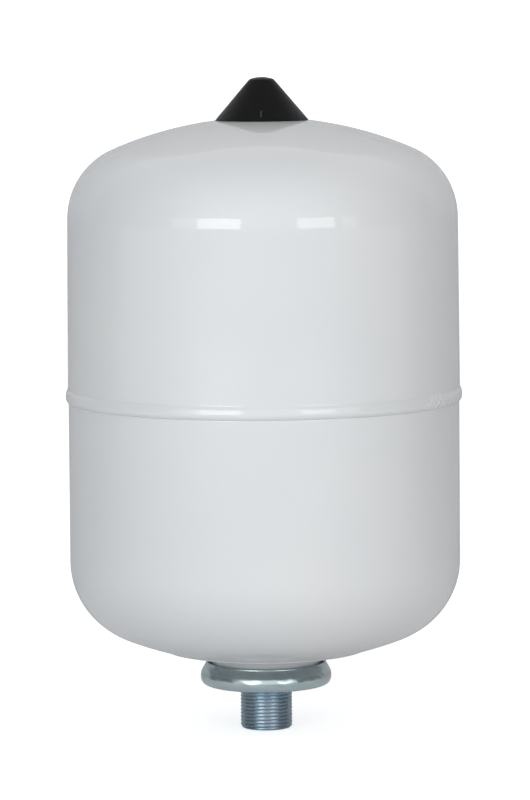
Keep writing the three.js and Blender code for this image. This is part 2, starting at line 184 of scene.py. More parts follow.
def lathe(name, profile, material, sides=96, warp=None, sharp=38):
    verts, faces = lathe_data(profile, sides, warp)
    mesh = bpy.data.meshes.new(name)
    mesh.from_pydata([tuple(v) for v in verts], [], faces)
    return finish_mesh(name, mesh, material, sharp)


def place(piece, body, *nodes):
    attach(piece, body)
    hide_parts(*nodes)
    return piece


def ripple(seed, count, angles, low=2, high=9):
    """Smooth periodic wobble in [-1, 1] round the axis, the same on every run."""
    rng = np.random.default_rng(seed)
    total = np.zeros_like(angles)
    weight = 0.0
    for n in rng.integers(low, high + 1, count):
        strength = 1 / math.sqrt(n)
        total += strength * np.sin(n * angles + rng.uniform(0, 2 * math.pi))
        weight += strength
    return total / weight


# ---------------------------------------------------------------- materials

def feed(tree, socket, value):
    """Links a socket to another one, or sets its value; a plain colour gets its alpha."""
    if isinstance(value, bpy.types.NodeSocket):
        tree.links.new(value, socket)
    elif isinstance(value, tuple) and len(value) < len(socket.default_value):
        socket.default_value = (*value, 1)
    else:
        socket.default_value = value


def math_node(tree, operation, *values):
    node = tree.nodes.new("ShaderNodeMath")
    node.operation = operation
    for socket, value in zip(node.inputs, values):
        feed(tree, socket, value)
    return node.outputs[0]


class Look:
    """A Principled material with a few helpers for its node tree."""

    def __init__(self, name, **settings):
        self.material = bpy.data.materials.new(name)
        self.material.use_nodes = True
        self.tree = self.material.node_tree
        self.shader = self.tree.nodes["Principled BSDF"]
        self.set(self.shader, **settings)
        self.coords = self.tree.nodes.new("ShaderNodeTexCoord").outputs["Object"]

    def set(self, node, **settings):
        for key, value in settings.items():
            feed(self.tree, node.inputs[key.replace("_", " ")], value)

    def node(self, kind, **settings):
        node = self.tree.nodes.new("ShaderNode" + kind)
        self.set(node, **settings)
        return node

    def xyz(self):
        """The three object coordinates, in metres."""
        split = self.node("SeparateXYZ", Vector=self.coords)
        return [split.outputs[k] for k in "XYZ"]

    def stretched(self, x, y, z):
        """Object coordinates in metres, each multiplied to set the pattern's grain along that axis."""
        mapping = self.node("Mapping", Vector=self.coords)
        mapping.inputs["Scale"].default_value = (x, y, z)
        return mapping.outputs["Vector"]

    def around(self, radial, angular, axial):
        """Cylinder coordinates about the vessel's axis, so that noise in them draws turning marks."""
        x, y, z = self.xyz()
        angle = self.math("ARCTAN2", y, x)
        squares = self.math("ADD", self.math("MULTIPLY", x, x), self.math("MULTIPLY", y, y))
        radius = self.math("SQRT", squares)
        join = self.node("CombineXYZ", X=self.math("MULTIPLY", radius, radial),
                         Y=self.math("MULTIPLY", angle, angular), Z=self.math("MULTIPLY", z, axial))
        return join.outputs["Vector"]

    def math(self, operation, a, b=0.0):
        return math_node(self.tree, operation, a, b)

    def noise(self, vector, scale=1.0, detail=3.0, rough=0.5, distortion=0.0):
        node = self.node("TexNoise", Vector=vector, Scale=scale, Detail=detail, Roughness=rough,
                         Distortion=distortion)
        return node.outputs["Fac"]

    def between(self, fac, low, high, start=0.3, end=0.7):
        """Maps a noise value to the range low..high."""
        node = self.tree.nodes.new("ShaderNodeMapRange")
        for key, value in (("From Min", start), ("From Max", end), ("To Min", low), ("To Max", high)):
            node.inputs[key].default_value = value
        self.tree.links.new(fac, node.inputs["Value"])
        return node.outputs["Result"]

    def ramp(self, fac, *stops):
        node = self.tree.nodes.new("ShaderNodeValToRGB")
        elements = node.color_ramp.elements
        while len(elements) < len(stops):
            elements.new(0.5)
        for element, (place_at, colour) in zip(elements, stops):
            element.position = place_at
            element.color = (*colour, 1)
        self.tree.links.new(fac, node.inputs["Fac"])
        return node.outputs["Color"]

    def mix(self, fac, a, b):
        node = self.tree.nodes.new("ShaderNodeMix")
        node.data_type = "RGBA"
        factor, first, second = node.inputs[0], node.inputs[6], node.inputs[7]    # sockets of the colour mix
        for socket, value in ((factor, fac), (first, a), (second, b)):
            feed(self.tree, socket, value)
        return node.outputs[2]

    def blunted(self, amount):
        """Surface normal turned partly straight out from the axis, as on threads that are worn blunt.
        Faces square to the axis keep their own normal."""
        own = self.tree.nodes.new("ShaderNodeNewGeometry").outputs["Normal"]
        flat = self.math("ABSOLUTE", self.node("SeparateXYZ", Vector=own).outputs["Z"])
        x, y, _ = self.xyz()
        out = self.vector("NORMALIZE", self.node("CombineXYZ", X=x, Y=y).outputs["Vector"])
        lean = self.tree.nodes.new("ShaderNodeMix")
        lean.data_type = "VECTOR"
        factor, first, second = lean.inputs[0], lean.inputs[4], lean.inputs[5]    # sockets of the vector mix
        share = self.between(flat, amount, 0.0, 0.93, 0.98)
        for socket, value in ((factor, share), (first, own), (second, out)):
            feed(self.tree, socket, value)
        return self.vector("NORMALIZE", lean.outputs[1])

    def vector(self, operation, value):
        node = self.tree.nodes.new("ShaderNodeVectorMath")
        node.operation = operation
        self.tree.links.new(value, node.inputs[0])
        return node.outputs["Vector"]

    def bump(self, height, strength, distance_mm, under=None):
        node = self.node("Bump", Height=height, Strength=strength, Distance=distance_mm * MM)
        if under:
            self.tree.links.new(under, node.inputs["Normal"])
        return node.outputs["Normal"]


def white_enamel(name="white_enamel"):
    """Baked gloss enamel on drawn steel: fine orange peel, slow changes of tone, a few dust specks, and
    painted shade on the neck.
    """
    look = Look(name, Metallic=0.0, IOR=1.5)
    drift = look.noise(look.coords, scale=9.0, detail=2.0)
    tint = look.ramp(drift, (0.3, (0.80, 0.812, 0.82)), (0.7, (0.835, 0.838, 0.835)))
    cells = look.node("TexVoronoi", Vector=look.coords, Scale=70.0, Randomness=1.0)
    draw = look.node("SeparateColor", Color=cells.outputs["Color"]).outputs[0]
    chosen = look.between(draw, 0.0, 0.5, 0.80, 0.95)
    spot = look.between(cells.outputs["Distance"], 1.0, 0.0, 0.014, 0.030)
    colour = look.mix(look.math("MULTIPLY", spot, chosen), tint, (0.42, 0.41, 0.39))
    # painted shade on the neck, where the dome and the ring keep the light off it, a little uneven; painted
    # crevice shade, darkest where the ring's rim touches it
    _, _, height = look.xyz()
    neck = look.between(height, 1.0, 0.0, 0.0388, 0.0402)
    painted_neck_shade = look.math("MULTIPLY", neck, look.between(drift, 0.75, 1.0))
    colour = look.mix(painted_neck_shade, colour, (0.56, 0.58, 0.59))
    colour = look.mix(look.between(height, 0.3, 0.0, 0.0346, 0.0356), colour, (0.12, 0.12, 0.125))
    # painted shade: seen aslant, the neck is painted near black where it would show the shadowed gap between
    # dome and ring
    facing = look.node("LayerWeight", Blend=0.5).outputs["Facing"]
    aslant = look.math("MULTIPLY", neck, look.between(facing, 0.0, 1.0, 0.48, 0.78))
    colour = look.mix(aslant, colour, (0.02, 0.02, 0.021))
    peel = look.noise(look.coords, scale=260.0, detail=2.0, rough=0.4)
    waves = look.noise(look.coords, scale=38.0, detail=1.5)
    normal = look.bump(peel, 0.05, 0.05, look.bump(waves, 0.06, 0.25))
    rough = look.between(look.noise(look.coords, scale=70.0), 0.40, 0.50)
    gloss = look.between(height, 0.30, 1.0, 0.045, 0.060)
    look.set(look.shader, Base_Color=colour, Normal=normal, Roughness=rough, Specular_IOR_Level=0.3,
             Coat_Weight=gloss, Coat_Roughness=0.05, Coat_IOR=1.5, Coat_Normal=normal)
    return look.material


def zinc_plate(name, films, stain_depth, grain, rough_low, rough_high, threaded=False):
    """Blue-passivated zinc: thin coloured films, drawing marks, dull patches and a lower edge lightened as a
    painted reflection of the bright floor.
    A threaded piece gets blunted crests instead, and reflections drawn out along the axis."""
    look = Look(name, Metallic=1.0)
    film = look.noise(look.around(55.0, 0.9, 90.0), detail=2.0, distortion=0.6)
    colour = look.ramp(film, *zip((0.30, 0.43, 0.52, 0.62, 0.72), films))
    stain = look.between(look.noise(look.coords, scale=140.0, detail=4.0), 0.0, stain_depth, 0.52, 0.72)
    colour = look.mix(stain, colour, (0.24, 0.26, 0.28))
    lines = look.noise(look.around(2600.0 * grain, 3.0, 2600.0 * grain), detail=2.0)
    pits = look.noise(look.coords, scale=1300.0, detail=2.0)
    if threaded:
        under = look.blunted(0.7)
        round_axis = look.node("Tangent")
        round_axis.direction_type, round_axis.axis = "RADIAL", "Z"
        look.set(look.shader, Tangent=round_axis.outputs[0], Anisotropic=0.6, Anisotropic_Rotation=0.25)
    else:
        under = None
        _, _, height = look.xyz()
        # painted reflection: the lower roll is lighter, as if mirroring the bright floor in front
        colour = look.mix(look.between(height, 0.6, 0.0, 0.0245, 0.0268), colour, (0.50, 0.62, 0.66))
    normal = look.bump(lines, 0.06, 0.05, look.bump(pits, 0.06, 0.05, under))
    rough = look.between(look.noise(look.coords, scale=210.0, detail=3.0), rough_low, rough_high)
    look.set(look.shader, Base_Color=colour, Normal=normal, Roughness=rough)
    return look.material


def machined(name, dark, light, rough_low, rough_high):
    """Turned metal: fine tool marks round the axis, a little tarnish."""
    look = Look(name, Metallic=1.0)
    lines = look.noise(look.around(5200.0, 2.0, 5200.0), detail=2.0)
    tarnish = look.noise(look.coords, scale=520.0, detail=4.0)
    normal = look.bump(lines, 0.18, 0.02)
    look.set(look.shader, Base_Color=look.ramp(tarnish, (0.35, dark), (0.65, light)), Normal=normal,
             Roughness=look.between(tarnish, rough_high, rough_low))
    return look.material


def black_plastic(name="black_plastic"):
    """Injection-moulded polypropylene: satin black, fine spark-eroded grain, faint flow marks, and a painted
    highlight on one side of each rib.
    """
    look = Look(name, Metallic=0.0, IOR=1.49, Specular_IOR_Level=0.14)
    flow = look.noise(look.stretched(60.0, 60.0, 14.0), detail=3.0)
    colour = look.ramp(flow, (0.3, (0.0044, 0.0044, 0.0045)), (0.7, (0.0072, 0.0072, 0.0072)))
    # painted highlight: a lighter mark on one side of each rib of the cone cap, where the light would catch
    # it
    rib_glint_mask = look.tree.nodes.new("ShaderNodeAttribute")
    rib_glint_mask.attribute_name = "painted_rib_glint"
    colour = look.mix(rib_glint_mask.outputs["Fac"], colour, (0.055, 0.055, 0.055))
    grain = look.noise(look.coords, scale=2600.0, detail=2.0)
    normal = look.bump(grain, 0.16, 0.05)
    look.set(look.shader, Base_Color=colour, Normal=normal,
             Roughness=look.between(look.noise(look.coords, scale=300.0), 0.30, 0.42))
    return look.material


def rubber(name, grain_scale):
    """Moulded rubber: matt black with a light bloom and a fine leathery grain."""
    look = Look(name, Metallic=0.0, IOR=1.5)
    bloom = look.noise(look.coords, scale=45.0, detail=5.0)
    colour = look.ramp(bloom, (0.35, (0.012, 0.012, 0.012)), (0.75, (0.040, 0.040, 0.038)))
    grain = look.noise(look.coords, scale=grain_scale, detail=3.0)
    normal = look.bump(grain, 0.25, 0.12)
    look.set(look.shader, Base_Color=colour, Normal=normal, Roughness=look.between(bloom, 0.62, 0.85))
    return look.material


RING_FILMS = ((0.37, 0.45, 0.49), (0.40, 0.49, 0.51), (0.46, 0.54, 0.54), (0.45, 0.49, 0.53),
              (0.38, 0.46, 0.51))
THREAD_FILMS = ((0.19, 0.28, 0.35), (0.21, 0.30, 0.37), (0.24, 0.32, 0.37), (0.25, 0.31, 0.38),
                (0.20, 0.29, 0.36))
ENAMEL = white_enamel()
ZINC = zinc_plate("zinc_plate", RING_FILMS, stain_depth=0.12, grain=1.0, rough_low=0.17, rough_high=0.28)
THREAD_ZINC = zinc_plate("zinc_thread", THREAD_FILMS, stain_depth=0.08, grain=0.7, rough_low=0.24,
                         rough_high=0.33, threaded=True)
SPRING_STEEL = machined("spring_steel", (0.50, 0.50, 0.51), (0.68, 0.68, 0.69), 0.16, 0.28)
BRASS = machined("brass", (0.55, 0.38, 0.15), (0.78, 0.60, 0.30), 0.18, 0.36)
PLASTIC = black_plastic()
BAG_RUBBER = rubber("epdm_rubber", 320.0)
SEAL_RUBBER = rubber("seal_rubber", 1500.0)

# ---------------------------------------------------------------- shells

WALL = 1.2
UPPER_R, SEAM_Z, UPPER_TOP = extent("upper_shell")
HOLE_R = 7.3
UPPER_CROWN, UPPER_KNUCKLE, UPPER_WALL_R = 191.7, 38.0, UPPER_R - 0.85
UPPER_APEX = UPPER_TOP + HOLE_R ** 2 / (2 * UPPER_CROWN)
UPPER_DOME = (UPPER_APEX, UPPER_CROWN, UPPER_KNUCKLE, UPPER_WALL_R, 1)
LOWER_R, NECK_BOTTOM, SPIGOT_TOP = extent("lower_shell")
LOWER_APEX, LOWER_CROWN, LOWER_KNUCKLE, LOWER_WALL_R = 34.7, 200.0, 41.2, LOWER_R + 0.1
LOWER_DOME = (LOWER_APEX, LOWER_CROWN, LOWER_KNUCKLE, LOWER_WALL_R, -1)
SPIGOT_R = LOWER_R - 1.1
NECK_R = 29.4
NECK_FLANGE_R, NECK_FLANGE_TOP = 31.1, 31.9


def dome_z(r):
    """Height of the upper dome's outer surface."""
    return UPPER_APEX - UPPER_CROWN + math.sqrt(UPPER_CROWN ** 2 - r ** 2)


def drawn_wall(seed, amplitude):
    """Gives a pressed wall the slight unevenness that shows in its reflections."""
    def warp(r, a, z):
        swell = np.clip((r - 70.0) / 30.0, 0, 1)
        shift = ripple(seed, 4, a) + 0.6 * ripple(seed + 1, 3, a + 0.013 * z, 3, 6)
        return r + amplitude * swell * shift, a, z
    return warp


def upper_shell():
    dome = torispherical(*UPPER_DOME, HOLE_R)
    outside = dome + subdivided([dome[-1], (UPPER_R, SEAM_Z + 0.1)], 3.0)[1:]
    inner = torispherical(*UPPER_DOME, HOLE_R, WALL, 10, 12)
    inside = inner + [(UPPER_R - WALL, SEAM_Z + 0.1)]
    lip = [(UPPER_R - 0.1, SEAM_Z), (UPPER_R - WALL + 0.1, SEAM_Z)]
    piece = lathe("upper_shell_enamelled", outside + lip + inside[::-1], ENAMEL, 256,
                  drawn_wall(11, 0.06))
    return place(piece, "vessel", "upper_shell")


def lower_shell():
    """Drawn lower half: joggled edge, dome, crisp step to a nearly flat land, and the flanged neck."""
    edge_r, fillet = 52.0, 0.95
    dome_start = edge_r + 0.9
    step = LOWER_APEX + LOWER_CROWN - math.sqrt(LOWER_CROWN ** 2 - edge_r ** 2)

    def land(r):
        return step - 0.36 + 0.045 * (r - edge_r)

    fillet_r = NECK_R + fillet
    fillet_z = land(fillet_r) - fillet
    dome = torispherical(*LOWER_DOME, dome_start)
    edge = spline([dome[0], (edge_r + 0.25, step - 0.01), (edge_r + 0.05, step - 0.09),
                   (edge_r - 0.02, step - 0.22), (edge_r - 0.10, step - 0.34),
                   (edge_r - 0.5, land(edge_r - 0.5)), (44.0, land(44.0))], 5)[1:]
    groove = [(NECK_R - 0.45, fillet_z - 0.10), (NECK_R - 0.60, fillet_z - 0.40),
              (NECK_R - 0.45, fillet_z - 0.70), (NECK_R - 0.25, fillet_z - 0.85),
              (NECK_R - 0.35, fillet_z - 4.0)]
    neck = arc(fillet_r, fillet_z, fillet, 90, 180, 10) + groove
    top, rim_r = NECK_FLANGE_TOP, NECK_FLANGE_R
    rim = [(NECK_R - 0.35, top + 0.7), (NECK_R, top + 0.15), (NECK_R + 0.7, top), (rim_r - 0.1, top),
           (rim_r, top - 0.1), (rim_r, NECK_BOTTOM + 0.1), (rim_r - 0.1, NECK_BOTTOM),
           (NECK_R - 0.2, NECK_BOTTOM), (NECK_R - 1.0, NECK_BOTTOM + 0.5)]
    inner_neck = arc(fillet_r, fillet_z, fillet + WALL, 180, 90, 8)
    inner_dome = torispherical(*LOWER_DOME, dome_start, WALL, 6, 12)
    spigot_z = SEAM_Z - 0.1
    wall_top = [(SPIGOT_R + 0.35, spigot_z - 0.45), (LOWER_R - 0.2, spigot_z - 1.2),
                (LOWER_R, spigot_z - 1.7), (LOWER_R, spigot_z - 2.0)]
    spigot = subdivided([(SPIGOT_R, SPIGOT_TOP - 0.2), (SPIGOT_R, spigot_z)], 3.0)
    wall = subdivided([(LOWER_R, spigot_z - 2.4), dome[-1]], 3.0)
    outside = spigot + wall_top + wall + dome[-2::-1] + edge + neck + rim
    inside = (inner_neck + [(edge_r - 2.0, land(edge_r) + WALL)] + inner_dome
              + [(LOWER_R - WALL, spigot_z - 1.7), (SPIGOT_R - WALL, spigot_z),
                 (SPIGOT_R - WALL, SPIGOT_TOP - 0.2), (SPIGOT_R - WALL + 0.2, SPIGOT_TOP),
                 (SPIGOT_R - 0.2, SPIGOT_TOP)])
    piece = lathe("lower_shell_enamelled", outside + inside, ENAMEL, 256,
                  drawn_wall(23, 0.05))
    return place(piece, "vessel", "lower_shell")


# ---------------------------------------------------------------- weld bead

def girth_weld():
    """Painted bead: crisp undercut below, washed out above, with the lump where the torch stopped."""
    peak_r, low, high = extent("girth_weld")
    stop_at = math.radians(-30)
    tall = high - low
    outer = spline([(LOWER_R + 0.02, low), (LOWER_R + 0.45, low + 0.22), (peak_r - 0.42, low + 0.72),
                    (peak_r - 0.02, low + 1.5), (peak_r + 0.11, low + 2.5), (peak_r + 0.06, low + 3.5),
                    (peak_r - 0.10, low + 4.9), (peak_r - 0.34, low + 5.8), (UPPER_R + 0.10, high + 0.2),
                    (UPPER_R - 0.02, high + 0.9)], 6)
    root_r = UPPER_R - 0.25
    profile = outer + [(root_r, high - 0.3), (root_r, SEAM_Z - 0.05), (LOWER_R - 0.3, low + 0.2)]

    def warp(r, a, z):
        t = np.clip((z - low) / tall, 0, 1)
        body = np.sin(math.pi * t)
        crawl = ripple(5, 6, a, 6, 40)
        # faint chevron ripples, one every 1.9 mm round the bead, pushed back at its edges
        scale = a * 330 + 2.2 * (t - 0.45) ** 2 * 4 + 0.8 * ripple(9, 5, a, 20, 60)
        near_stop = np.angle(np.exp(1j * (a - stop_at)))
        lump = (np.exp(-((near_stop + 0.035) / 0.050) ** 2)
                + 0.5 * np.exp(-((near_stop - 0.055) / 0.040) ** 2))
        crater = np.exp(-(near_stop / 0.014) ** 2)
        slant = 0.013 * (z - low)
        rough = ripple(31, 8, a + slant, 70, 190) + ripple(37, 8, a - slant, 60, 170)
        rough = rough * np.exp(-(near_stop / 0.11) ** 2)
        grow = 0.008 * np.sin(scale) + 0.10 * crawl + 0.50 * lump - 0.22 * crater + 0.40 * rough
        edge = 0.30 * ripple(17, 6, a, 5, 30) * (t - 0.5)
        return r + body * grow, a, z + edge + 0.9 * lump * (t - 0.3)

    piece = lathe("girth_weld_painted", profile, ENAMEL, 2048, warp, 60)
    return place(piece, "vessel", "girth_weld")


# ---------------------------------------------------------------- connection

def connection_flange():
    """Pressed cup with its rim rolled in over the neck's flange."""
    r, low, high = extent("connection_flange")
    hole = 12.4
    outer = spline([(r - 3.2, low), (r - 1.8, low + 0.35), (r - 0.65, low + 1.3), (r - 0.05, low + 2.7),
                    (r + 0.15, low + 4.3), (r + 0.06, low + 5.5), (r - 0.28, low + 6.9),
                    (r - 0.86, low + 8.1), (r - 1.60, low + 9.4), (r - 2.15, low + 10.4),
                    (r - 2.46, low + 11.1), (r - 2.62, low + 11.65), (r - 2.98, high),
                    (r - 3.42, high - 0.25)], 7)
    lip_r, seat = 29.9, NECK_FLANGE_TOP + 0.1
    inner_r, floor = r - 2.0, low + 2.0
    inside = [(lip_r, high - 1.0), (lip_r, seat + 0.4), (lip_r + 0.3, seat), (inner_r - 0.3, seat),
              (inner_r, seat - 0.3), (inner_r, floor + 0.9), (inner_r - 0.3, floor + 0.25),
              (inner_r - 0.9, floor), (hole + 0.2, floor), (hole, floor - 0.2), (hole, low + 0.2),
              (hole + 0.2, low)]

    def warp(rr, a, z):
        up = np.clip((z - low - 5) / 7, 0, 1)
        dents = 0.06 * ripple(41, 5, a) + 0.05 * up * ripple(43, 8, a, 8, 24)
        knocks = 0.16 * ripple(53, 9, a + 0.035 * z, 10, 30) * np.clip((rr - 31.0) / 2.0, 0, 1)
        return rr + dents + knocks, a, z + 0.07 * up * ripple(47, 6, a)

    piece = lathe("connection_flange_zinc", outer + inside, ZINC, 256, warp)
    return place(piece, "vessel", "connection_flange")


def extend(bm, edges, path):
    """Grows an open edge loop along (r, z) points, keeping each vertex's angle."""
    for r, z in path:
        grown = bmesh.ops.extrude_edge_only(bm, edges=edges)["geom"]
        edges = [g for g in grown if isinstance(g, bmesh.types.BMEdge)]
        for v in {v for e in edges for v in e.verts}:
            a = math.atan2(v.co.y, v.co.x)
            v.co = Vector((r * math.cos(a), r * math.sin(a), z)) * MM
    return edges


def thread_section(major, minor, pitch, crest, points=10):
    """Radii over one pitch: a flat crest, then flanks that are slightly rounded into the root."""
    run = 0.92 * pitch * (1 - crest) / 2
    radii = []
    for k in range(points):
        from_crest = abs(((k / points + 0.5) % 1.0) - 0.5) * pitch
        flank = np.clip((from_crest - crest * pitch / 2) / run, 0, 1)
        soft = 0.5 - 0.5 * math.cos(math.pi * flank)
        radii.append(major + (minor - major) * (0.35 * soft + 0.65 * flank))
    return radii


def threaded_tube(name, major, minor, pitch, low, high, end_chamfer, runout, lower_path, upper_path,
                  per_turn, crest):
    """A tube whose outside is a true helical thread between low and high, carried on by two (r, z) paths
    that meet inside. The thread's section follows the helix; both ends are cut square."""
    section = thread_section(major, minor, pitch, crest)
    chamfer_slope = end_chamfer / (0.9 * end_chamfer + 0.01)
    runout_r = minor - 0.15
    turns = math.ceil((high - low) / pitch) + 3
    bm = bmesh.new()
    rows = []
    for k in range(turns * per_turn + 1):
        a = 2 * math.pi * k / per_turn
        base = low - 1.5 * pitch + pitch * k / per_turn
        row = []
        for j, r in enumerate(section):
            z = base + pitch * j / len(section)
            limit = min(major, major - end_chamfer + max(0.0, z - low) * chamfer_slope)
            if z > high - runout:
                limit = min(limit, major + (runout_r - major) * min(1.0, (z - high + runout) / runout))
            rr = min(r, limit)
            row.append(bm.verts.new(Vector((rr * math.cos(a), rr * math.sin(a), z)) * MM))
        rows.append(row)
    n = len(section)

    def vert(k, j):
        """Point j of row k; past the end of a section it is the next turn's."""
        row = k + per_turn * (j // n)
        return rows[row][j % n] if row < len(rows) else None

    for k in range(len(rows) - 1):
        for j in range(n):
            quad = [vert(k, j), vert(k + 1, j), vert(k + 1, j + 1), vert(k, j + 1)]
            if all(quad):
                bm.faces.new(quad)
    for z, outwards in ((low, -1), (high, 1)):
        everything = bm.verts[:] + bm.edges[:] + bm.faces[:]
        bmesh.ops.bisect_plane(bm, geom=everything, dist=1e-7, plane_co=(0, 0, z * MM),
                               plane_no=(0, 0, outwards), clear_outer=True)
    bmesh.ops.remove_doubles(bm, verts=bm.verts[:], dist=1e-6)
    middle = (low + high) / 2 * MM
    open_edges = [e for e in bm.edges if e.is_boundary]
    bottom = extend(bm, [e for e in open_edges if e.verts[0].co.z < middle], lower_path)
    top = extend(bm, [e for e in open_edges if e.verts[0].co.z > middle], upper_path)
    bmesh.ops.bridge_loops(bm, edges=bottom + top)
    bmesh.ops.recalc_face_normals(bm, faces=bm.faces[:])
    mesh = bpy.data.meshes.new(name)
    bm.to_mesh(mesh)
    bm.free()
    return mesh


def nipple():
    shoulder_r, low, high = extent("nipple")
    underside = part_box("connection_flange")[0].z / MM
    major, minor, pitch, bore = 13.22, 12.16, 1.814, 9.6
    collar = high - 3.0
    lower_path = [(bore + 0.5, low), (bore + 0.12, low + 0.15), (bore, low + 0.5), (bore, collar)]
    upper_path = [(minor, underside - 0.6), (minor, collar), (shoulder_r - 0.2, collar),
                  (shoulder_r, collar + 0.2), (shoulder_r, high - 0.6), (shoulder_r - 0.6, high),
                  (bore + 1.6, high), (bore + 0.1, high - 1.4)]
    mesh = threaded_tube("nipple_threaded", major, minor, pitch, low, underside - 1.4, 1.1, 1.4,
                         lower_path, upper_path, per_turn=128, crest=0.34)
    piece = finish_mesh("nipple_threaded", mesh, THREAD_ZINC, 50)
    return place(piece, "vessel", "nipple")


# ---------------------------------------------------------------- rubber bag

def membrane():
    """Slack rubber bag: moulded collar and waist, four soft folds, and small creases between them."""
    _, low, high = extent("membrane")
    neck_r, wide = 27.8, 78.0
    outside = spline([(neck_r, 31.2), (neck_r, 38.0), (28.6, 42.5), (33.0, 47.5), (47.0, 57.5),
                      (63.5, 73.5), (74.5, 97.0), (wide, 133.0), (76.3, 168.0), (69.5, 195.0),
                      (55.0, 215.5), (33.0, 228.3), (12.0, high - 0.7)], 7) + [(0.0, high)]
    inner_wide, inner_neck = wide - 2.0, neck_r - 2.0
    inside = [(0.0, high - 2.0)] + spline([(12.0, high - 2.7), (32.0, 226.3), (53.5, 213.8), (67.6, 194.0),
                                           (74.3, 167.6), (inner_wide, 133.0), (72.6, 98.0), (62.0, 75.0),
                                           (46.0, 59.4), (31.5, 49.0), (26.8, 43.5), (inner_neck, 38.0),
                                           (inner_neck, 33.0)], 5)
    collar_r, collar_top = 31.0, 30.5
    collar = [(24.7, collar_top + 0.9), (24.5, collar_top - 0.1), (24.5, low + 0.3), (24.8, low),
              (30.2, low), (collar_r - 0.1, low + 0.6), (collar_r, low + 1.2),
              (collar_r, collar_top - 0.3), (collar_r - 0.3, collar_top), (28.8, collar_top)]

    def warp(r, a, z):
        rise = np.clip((z - 46) / 60, 0, 1)
        rise = rise * rise * (3 - 2 * rise)
        crown = np.clip((high - z) / 30, 0, 1)
        folds = np.cos(4 * a) + 0.22 * np.cos(8 * a + 0.6) * crown
        creases = 0.10 * ripple(61, 5, a + 0.004 * z, 9, 17)
        sag = 0.05 * np.sin(3 * a + 0.03 * z)
        lift = 0.6 * rise * crown * np.cos(4 * a + 0.2)
        return r * (1 + 0.11 * rise * (folds + creases + sag)), a, z + lift

    piece = lathe("membrane_rubber", outside + inside + collar, BAG_RUBBER, 240, warp, 60)
    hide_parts("membrane")
    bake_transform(piece)
    return piece


# ---------------------------------------------------------------- pre-charge valve

def valve_boss():
    r, low, high = extent("valve_boss")
    bore_r, spigot_r, recess_r, recess_z = 4.5, 7.0, 5.6, high - 0.8
    seat = dome_z(r) + 0.25
    profile = rounded([(bore_r, low, 0.15), (spigot_r, low, 0.3), (spigot_r, seat, 0), (r, seat, 0.1),
                       (r, high, 0.35), (recess_r, high, 0.15), (recess_r, recess_z, 0.1),
                       (bore_r, recess_z, 0.1)])
    return place(lathe("valve_boss_painted", profile, ENAMEL, 96), "vessel", "valve_boss")


def boss_weld():
    outer, low, high = extent("boss_weld")
    inner = 8.05
    foot = dome_z(outer)
    bead = spline([(outer, foot + 0.05), (outer - 0.45, foot + 0.5), (outer - 1.2, high - 0.35),
                   (inner + 0.3, high - 0.03)], 6)
    profile = bead + [(inner, high), (inner, dome_z(inner) + 0.12)]

    def warp(r, a, z):
        out = (r - inner) / (outer - inner)
        grow = 0.10 * out * np.sin(46 * a + 1.5 * out) + 0.16 * out * ripple(71, 5, a, 2, 9)
        return r + grow, a, z

    piece = lathe("boss_weld_painted", profile, ENAMEL, 384, warp)
    return place(piece, "vessel", "boss_weld")


def reshape(mesh, change):
    """Passes a mesh's points, in millimetres, to a function that moves them in place."""
    points = np.zeros(len(mesh.vertices) * 3)
    mesh.vertices.foreach_get("co", points)
    points = points.reshape(-1, 3) / MM
    change(points)
    mesh.vertices.foreach_set("co", (points * MM).ravel())


def valve_stem():
    """Brass tank valve: threaded tip, chamfered hexagon and plain shank round a stepped bore."""
    _, low, high = extent("valve_stem")
    hex_low, hex_high = high - 9.6, high - 5.6
    flat, corner = 7.0, 8.083
    tip_r, root_r, pitch, shank_r = 3.85, 3.42, 0.794, 4.2
    lower_bore, upper_bore = 2.4, 2.8
    lower = [(tip_r - 0.18, hex_high + 0.1), (tip_r - 0.1, hex_high)]
    nut = [(flat + 0.2, hex_high), (flat + 0.85, hex_high - 0.35), (corner, hex_high - 0.62),
           (corner, hex_low + 0.62), (flat + 0.85, hex_low + 0.35), (flat + 0.2, hex_low)]
    shank = [(shank_r + 0.1, hex_low), (shank_r, hex_low - 0.1), (shank_r, low + 0.6), (shank_r - 0.5, low),
             (lower_bore + 0.2, low), (lower_bore, low + 0.2), (lower_bore, high - 8.2),
             (upper_bore, high - 5.7)]
    top = [(3.1, high), (upper_bore + 0.05, high - 0.35), (upper_bore, high - 3.2)]
    mesh = threaded_tube("valve_stem_brass", tip_r, root_r, pitch, hex_high + 0.6, high - 0.02, 0.02, 0.35,
                         lower + nut + shank, top, per_turn=96, crest=0.16)

    def cut_flats(points):
        r = np.hypot(points[:, 0], points[:, 1])
        a = np.arctan2(points[:, 1], points[:, 0])
        limit = flat / np.cos((a + math.pi / 6) % (math.pi / 3) - math.pi / 6)
        proud = (r > limit) & (r > flat * 0.99)
        points[:, :2] *= np.where(proud, limit / np.maximum(r, 1e-6), 1.0)[:, None]

    reshape(mesh, cut_flats)
    piece = finish_mesh("valve_stem_brass", mesh, BRASS, 30)
    return place(piece, "vessel", "valve_stem")


def valve_o_ring():
    r, low, high = extent("valve_o_ring")
    middle, fat = (r + 4.4) / 2, (high - low) / 2
    profile = [(middle + 1.05 * fat * math.cos(t), (low + high) / 2 + fat * math.sin(t))
               for t in np.linspace(0, 2 * math.pi, 24, endpoint=False)]
    piece = lathe("valve_o_ring_rubber", profile, SEAL_RUBBER, 96)
    return place(piece, "vessel", "valve_o_ring")


